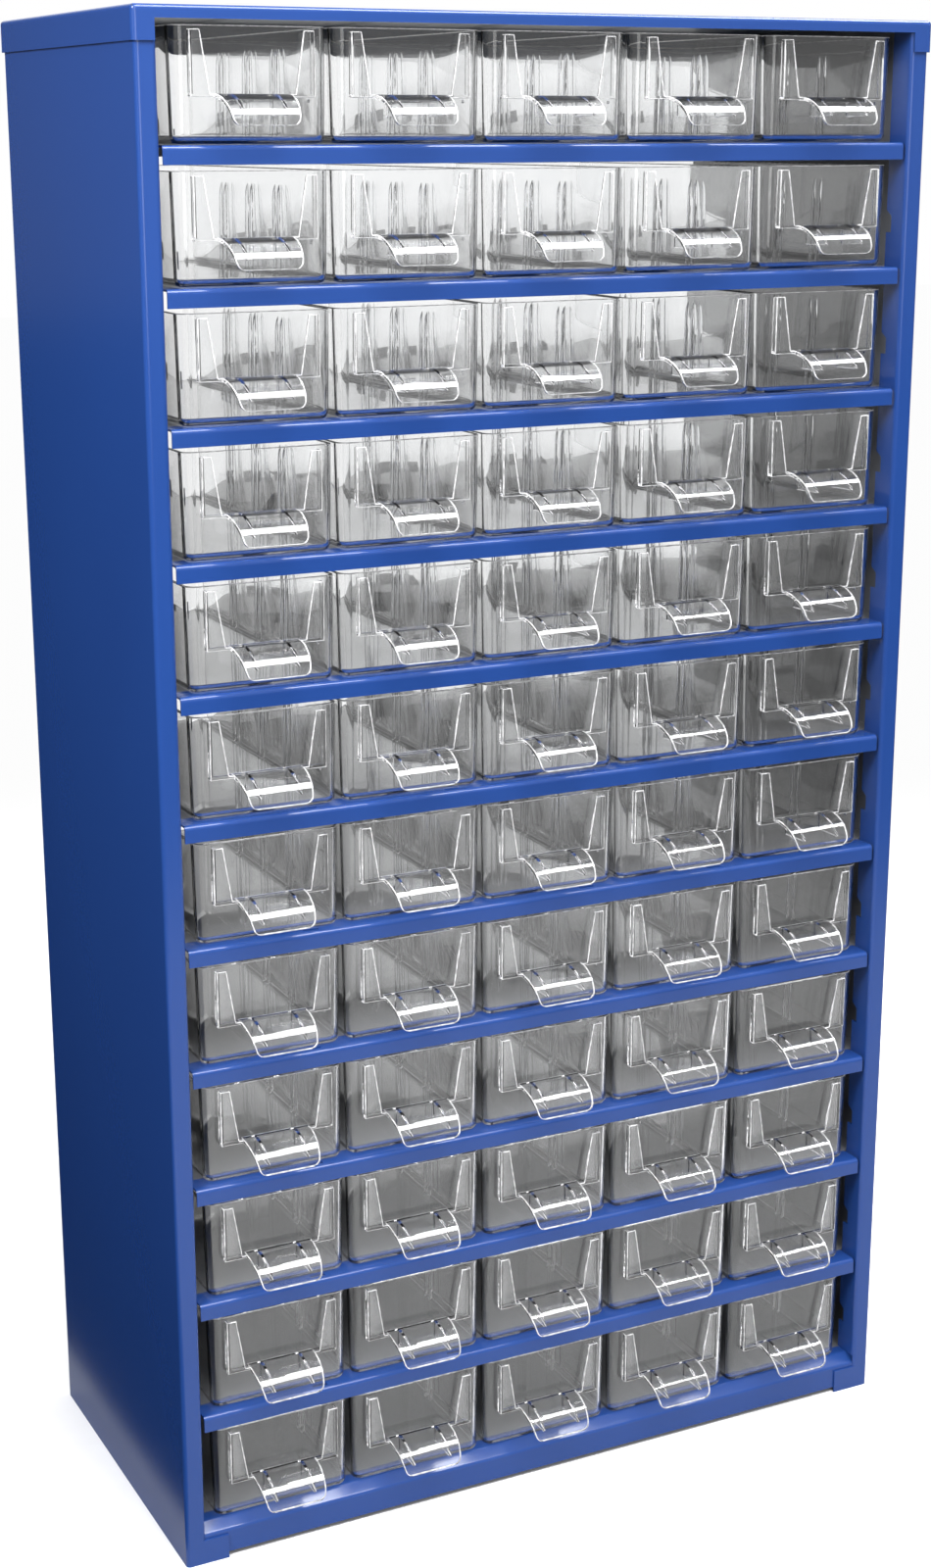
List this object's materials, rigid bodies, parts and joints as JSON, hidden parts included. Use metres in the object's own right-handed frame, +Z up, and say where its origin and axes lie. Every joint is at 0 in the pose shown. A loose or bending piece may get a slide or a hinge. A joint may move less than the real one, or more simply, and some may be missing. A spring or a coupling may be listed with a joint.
{
  "type": "parts bin cabinet",
  "caption": "Folded sheet-steel cabinet, open at the back, with rows of small clear plastic drawers that slide out at the front.",
  "frame": {"origin": "bottom centre of the whole object's box, drawer handles included, on the surface that it stands on", "axes": "+Z up, -Y out of the front where the drawers pull out, +X to the right seen from the front"},
  "size_m": [0.306, 0.1548, 0.551],
  "materials": {
    "blue_paint": "glossy baked enamel",
    "clear_plastic": "clear injection-moulded polystyrene"
  },
  "bodies": {
    "cabinet": {"left_side": "blue_paint", "right_side": "blue_paint", "top_cap": "blue_paint", "base_panel": "blue_paint", "shelves": "blue_paint"},
    "drawer_r01_c1": {"drawer_r01_c1": "clear_plastic"},
    "drawer_r02_c1": {"drawer_r02_c1": "clear_plastic"},
    "drawer_r03_c1": {"drawer_r03_c1": "clear_plastic"},
    "drawer_r04_c1": {"drawer_r04_c1": "clear_plastic"},
    "drawer_r05_c1": {"drawer_r05_c1": "clear_plastic"},
    "drawer_r06_c1": {"drawer_r06_c1": "clear_plastic"},
    "drawer_r07_c1": {"drawer_r07_c1": "clear_plastic"},
    "drawer_r08_c1": {"drawer_r08_c1": "clear_plastic"},
    "drawer_r09_c1": {"drawer_r09_c1": "clear_plastic"},
    "drawer_r10_c1": {"drawer_r10_c1": "clear_plastic"},
    "drawer_pair_c1": {"drawer_pair_c1": "clear_plastic"},
    "drawer_r01_c2": {"drawer_r01_c2": "clear_plastic"},
    "drawer_r02_c2": {"drawer_r02_c2": "clear_plastic"},
    "drawer_r03_c2": {"drawer_r03_c2": "clear_plastic"},
    "drawer_r04_c2": {"drawer_r04_c2": "clear_plastic"},
    "drawer_r05_c2": {"drawer_r05_c2": "clear_plastic"},
    "drawer_r06_c2": {"drawer_r06_c2": "clear_plastic"},
    "drawer_r07_c2": {"drawer_r07_c2": "clear_plastic"},
    "drawer_r08_c2": {"drawer_r08_c2": "clear_plastic"},
    "drawer_r09_c2": {"drawer_r09_c2": "clear_plastic"},
    "drawer_r10_c2": {"drawer_r10_c2": "clear_plastic"},
    "drawer_pair_c2": {"drawer_pair_c2": "clear_plastic"},
    "drawer_r01_c3": {"drawer_r01_c3": "clear_plastic"},
    "drawer_r02_c3": {"drawer_r02_c3": "clear_plastic"},
    "drawer_r03_c3": {"drawer_r03_c3": "clear_plastic"},
    "drawer_r04_c3": {"drawer_r04_c3": "clear_plastic"},
    "drawer_r05_c3": {"drawer_r05_c3": "clear_plastic"},
    "drawer_r06_c3": {"drawer_r06_c3": "clear_plastic"},
    "drawer_r07_c3": {"drawer_r07_c3": "clear_plastic"},
    "drawer_r08_c3": {"drawer_r08_c3": "clear_plastic"},
    "drawer_r09_c3": {"drawer_r09_c3": "clear_plastic"},
    "drawer_r10_c3": {"drawer_r10_c3": "clear_plastic"},
    "drawer_pair_c3": {"drawer_pair_c3": "clear_plastic"},
    "drawer_r01_c4": {"drawer_r01_c4": "clear_plastic"},
    "drawer_r02_c4": {"drawer_r02_c4": "clear_plastic"},
    "drawer_r03_c4": {"drawer_r03_c4": "clear_plastic"},
    "drawer_r04_c4": {"drawer_r04_c4": "clear_plastic"},
    "drawer_r05_c4": {"drawer_r05_c4": "clear_plastic"},
    "drawer_r06_c4": {"drawer_r06_c4": "clear_plastic"},
    "drawer_r07_c4": {"drawer_r07_c4": "clear_plastic"},
    "drawer_r08_c4": {"drawer_r08_c4": "clear_plastic"},
    "drawer_r09_c4": {"drawer_r09_c4": "clear_plastic"},
    "drawer_r10_c4": {"drawer_r10_c4": "clear_plastic"},
    "drawer_pair_c4": {"drawer_pair_c4": "clear_plastic"},
    "drawer_r01_c5": {"drawer_r01_c5": "clear_plastic"},
    "drawer_r02_c5": {"drawer_r02_c5": "clear_plastic"},
    "drawer_r03_c5": {"drawer_r03_c5": "clear_plastic"},
    "drawer_r04_c5": {"drawer_r04_c5": "clear_plastic"},
    "drawer_r05_c5": {"drawer_r05_c5": "clear_plastic"},
    "drawer_r06_c5": {"drawer_r06_c5": "clear_plastic"},
    "drawer_r07_c5": {"drawer_r07_c5": "clear_plastic"},
    "drawer_r08_c5": {"drawer_r08_c5": "clear_plastic"},
    "drawer_r09_c5": {"drawer_r09_c5": "clear_plastic"},
    "drawer_r10_c5": {"drawer_r10_c5": "clear_plastic"},
    "drawer_pair_c5": {"drawer_pair_c5": "clear_plastic"}
  },
  "joints": [
    {"name": "slide_r01_c1", "type": "slide", "parent": "cabinet", "child": "drawer_r01_c1", "axis": [0, -1, 0], "range_m": [0, 0.115]},
    {"name": "slide_r02_c1", "type": "slide", "parent": "cabinet", "child": "drawer_r02_c1", "axis": [0, -1, 0], "range_m": [0, 0.115]},
    {"name": "slide_r03_c1", "type": "slide", "parent": "cabinet", "child": "drawer_r03_c1", "axis": [0, -1, 0], "range_m": [0, 0.115]},
    {"name": "slide_r04_c1", "type": "slide", "parent": "cabinet", "child": "drawer_r04_c1", "axis": [0, -1, 0], "range_m": [0, 0.115]},
    {"name": "slide_r05_c1", "type": "slide", "parent": "cabinet", "child": "drawer_r05_c1", "axis": [0, -1, 0], "range_m": [0, 0.115]},
    {"name": "slide_r06_c1", "type": "slide", "parent": "cabinet", "child": "drawer_r06_c1", "axis": [0, -1, 0], "range_m": [0, 0.115]},
    {"name": "slide_r07_c1", "type": "slide", "parent": "cabinet", "child": "drawer_r07_c1", "axis": [0, -1, 0], "range_m": [0, 0.115]},
    {"name": "slide_r08_c1", "type": "slide", "parent": "cabinet", "child": "drawer_r08_c1", "axis": [0, -1, 0], "range_m": [0, 0.115]},
    {"name": "slide_r09_c1", "type": "slide", "parent": "cabinet", "child": "drawer_r09_c1", "axis": [0, -1, 0], "range_m": [0, 0.115]},
    {"name": "slide_r10_c1", "type": "slide", "parent": "cabinet", "child": "drawer_r10_c1", "axis": [0, -1, 0], "range_m": [0, 0.115]},
    {"name": "slide_pair_c1", "type": "slide", "parent": "cabinet", "child": "drawer_pair_c1", "axis": [0, -1, 0], "range_m": [0, 0.115]},
    {"name": "slide_r01_c2", "type": "slide", "parent": "cabinet", "child": "drawer_r01_c2", "axis": [0, -1, 0], "range_m": [0, 0.115]},
    {"name": "slide_r02_c2", "type": "slide", "parent": "cabinet", "child": "drawer_r02_c2", "axis": [0, -1, 0], "range_m": [0, 0.115]},
    {"name": "slide_r03_c2", "type": "slide", "parent": "cabinet", "child": "drawer_r03_c2", "axis": [0, -1, 0], "range_m": [0, 0.115]},
    {"name": "slide_r04_c2", "type": "slide", "parent": "cabinet", "child": "drawer_r04_c2", "axis": [0, -1, 0], "range_m": [0, 0.115]},
    {"name": "slide_r05_c2", "type": "slide", "parent": "cabinet", "child": "drawer_r05_c2", "axis": [0, -1, 0], "range_m": [0, 0.115]},
    {"name": "slide_r06_c2", "type": "slide", "parent": "cabinet", "child": "drawer_r06_c2", "axis": [0, -1, 0], "range_m": [0, 0.115]},
    {"name": "slide_r07_c2", "type": "slide", "parent": "cabinet", "child": "drawer_r07_c2", "axis": [0, -1, 0], "range_m": [0, 0.115]},
    {"name": "slide_r08_c2", "type": "slide", "parent": "cabinet", "child": "drawer_r08_c2", "axis": [0, -1, 0], "range_m": [0, 0.115]},
    {"name": "slide_r09_c2", "type": "slide", "parent": "cabinet", "child": "drawer_r09_c2", "axis": [0, -1, 0], "range_m": [0, 0.115]},
    {"name": "slide_r10_c2", "type": "slide", "parent": "cabinet", "child": "drawer_r10_c2", "axis": [0, -1, 0], "range_m": [0, 0.115]},
    {"name": "slide_pair_c2", "type": "slide", "parent": "cabinet", "child": "drawer_pair_c2", "axis": [0, -1, 0], "range_m": [0, 0.115]},
    {"name": "slide_r01_c3", "type": "slide", "parent": "cabinet", "child": "drawer_r01_c3", "axis": [0, -1, 0], "range_m": [0, 0.115]},
    {"name": "slide_r02_c3", "type": "slide", "parent": "cabinet", "child": "drawer_r02_c3", "axis": [0, -1, 0], "range_m": [0, 0.115]},
    {"name": "slide_r03_c3", "type": "slide", "parent": "cabinet", "child": "drawer_r03_c3", "axis": [0, -1, 0], "range_m": [0, 0.115]},
    {"name": "slide_r04_c3", "type": "slide", "parent": "cabinet", "child": "drawer_r04_c3", "axis": [0, -1, 0], "range_m": [0, 0.115]},
    {"name": "slide_r05_c3", "type": "slide", "parent": "cabinet", "child": "drawer_r05_c3", "axis": [0, -1, 0], "range_m": [0, 0.115]},
    {"name": "slide_r06_c3", "type": "slide", "parent": "cabinet", "child": "drawer_r06_c3", "axis": [0, -1, 0], "range_m": [0, 0.115]},
    {"name": "slide_r07_c3", "type": "slide", "parent": "cabinet", "child": "drawer_r07_c3", "axis": [0, -1, 0], "range_m": [0, 0.115]},
    {"name": "slide_r08_c3", "type": "slide", "parent": "cabinet", "child": "drawer_r08_c3", "axis": [0, -1, 0], "range_m": [0, 0.115]},
    {"name": "slide_r09_c3", "type": "slide", "parent": "cabinet", "child": "drawer_r09_c3", "axis": [0, -1, 0], "range_m": [0, 0.115]},
    {"name": "slide_r10_c3", "type": "slide", "parent": "cabinet", "child": "drawer_r10_c3", "axis": [0, -1, 0], "range_m": [0, 0.115]},
    {"name": "slide_pair_c3", "type": "slide", "parent": "cabinet", "child": "drawer_pair_c3", "axis": [0, -1, 0], "range_m": [0, 0.115]},
    {"name": "slide_r01_c4", "type": "slide", "parent": "cabinet", "child": "drawer_r01_c4", "axis": [0, -1, 0], "range_m": [0, 0.115]},
    {"name": "slide_r02_c4", "type": "slide", "parent": "cabinet", "child": "drawer_r02_c4", "axis": [0, -1, 0], "range_m": [0, 0.115]},
    {"name": "slide_r03_c4", "type": "slide", "parent": "cabinet", "child": "drawer_r03_c4", "axis": [0, -1, 0], "range_m": [0, 0.115]},
    {"name": "slide_r04_c4", "type": "slide", "parent": "cabinet", "child": "drawer_r04_c4", "axis": [0, -1, 0], "range_m": [0, 0.115]},
    {"name": "slide_r05_c4", "type": "slide", "parent": "cabinet", "child": "drawer_r05_c4", "axis": [0, -1, 0], "range_m": [0, 0.115]},
    {"name": "slide_r06_c4", "type": "slide", "parent": "cabinet", "child": "drawer_r06_c4", "axis": [0, -1, 0], "range_m": [0, 0.115]},
    {"name": "slide_r07_c4", "type": "slide", "parent": "cabinet", "child": "drawer_r07_c4", "axis": [0, -1, 0], "range_m": [0, 0.115]},
    {"name": "slide_r08_c4", "type": "slide", "parent": "cabinet", "child": "drawer_r08_c4", "axis": [0, -1, 0], "range_m": [0, 0.115]},
    {"name": "slide_r09_c4", "type": "slide", "parent": "cabinet", "child": "drawer_r09_c4", "axis": [0, -1, 0], "range_m": [0, 0.115]},
    {"name": "slide_r10_c4", "type": "slide", "parent": "cabinet", "child": "drawer_r10_c4", "axis": [0, -1, 0], "range_m": [0, 0.115]},
    {"name": "slide_pair_c4", "type": "slide", "parent": "cabinet", "child": "drawer_pair_c4", "axis": [0, -1, 0], "range_m": [0, 0.115]},
    {"name": "slide_r01_c5", "type": "slide", "parent": "cabinet", "child": "drawer_r01_c5", "axis": [0, -1, 0], "range_m": [0, 0.115]},
    {"name": "slide_r02_c5", "type": "slide", "parent": "cabinet", "child": "drawer_r02_c5", "axis": [0, -1, 0], "range_m": [0, 0.115]},
    {"name": "slide_r03_c5", "type": "slide", "parent": "cabinet", "child": "drawer_r03_c5", "axis": [0, -1, 0], "range_m": [0, 0.115]},
    {"name": "slide_r04_c5", "type": "slide", "parent": "cabinet", "child": "drawer_r04_c5", "axis": [0, -1, 0], "range_m": [0, 0.115]},
    {"name": "slide_r05_c5", "type": "slide", "parent": "cabinet", "child": "drawer_r05_c5", "axis": [0, -1, 0], "range_m": [0, 0.115]},
    {"name": "slide_r06_c5", "type": "slide", "parent": "cabinet", "child": "drawer_r06_c5", "axis": [0, -1, 0], "range_m": [0, 0.115]},
    {"name": "slide_r07_c5", "type": "slide", "parent": "cabinet", "child": "drawer_r07_c5", "axis": [0, -1, 0], "range_m": [0, 0.115]},
    {"name": "slide_r08_c5", "type": "slide", "parent": "cabinet", "child": "drawer_r08_c5", "axis": [0, -1, 0], "range_m": [0, 0.115]},
    {"name": "slide_r09_c5", "type": "slide", "parent": "cabinet", "child": "drawer_r09_c5", "axis": [0, -1, 0], "range_m": [0, 0.115]},
    {"name": "slide_r10_c5", "type": "slide", "parent": "cabinet", "child": "drawer_r10_c5", "axis": [0, -1, 0], "range_m": [0, 0.115]},
    {"name": "slide_pair_c5", "type": "slide", "parent": "cabinet", "child": "drawer_pair_c5", "axis": [0, -1, 0], "range_m": [0, 0.115]}
  ]
}
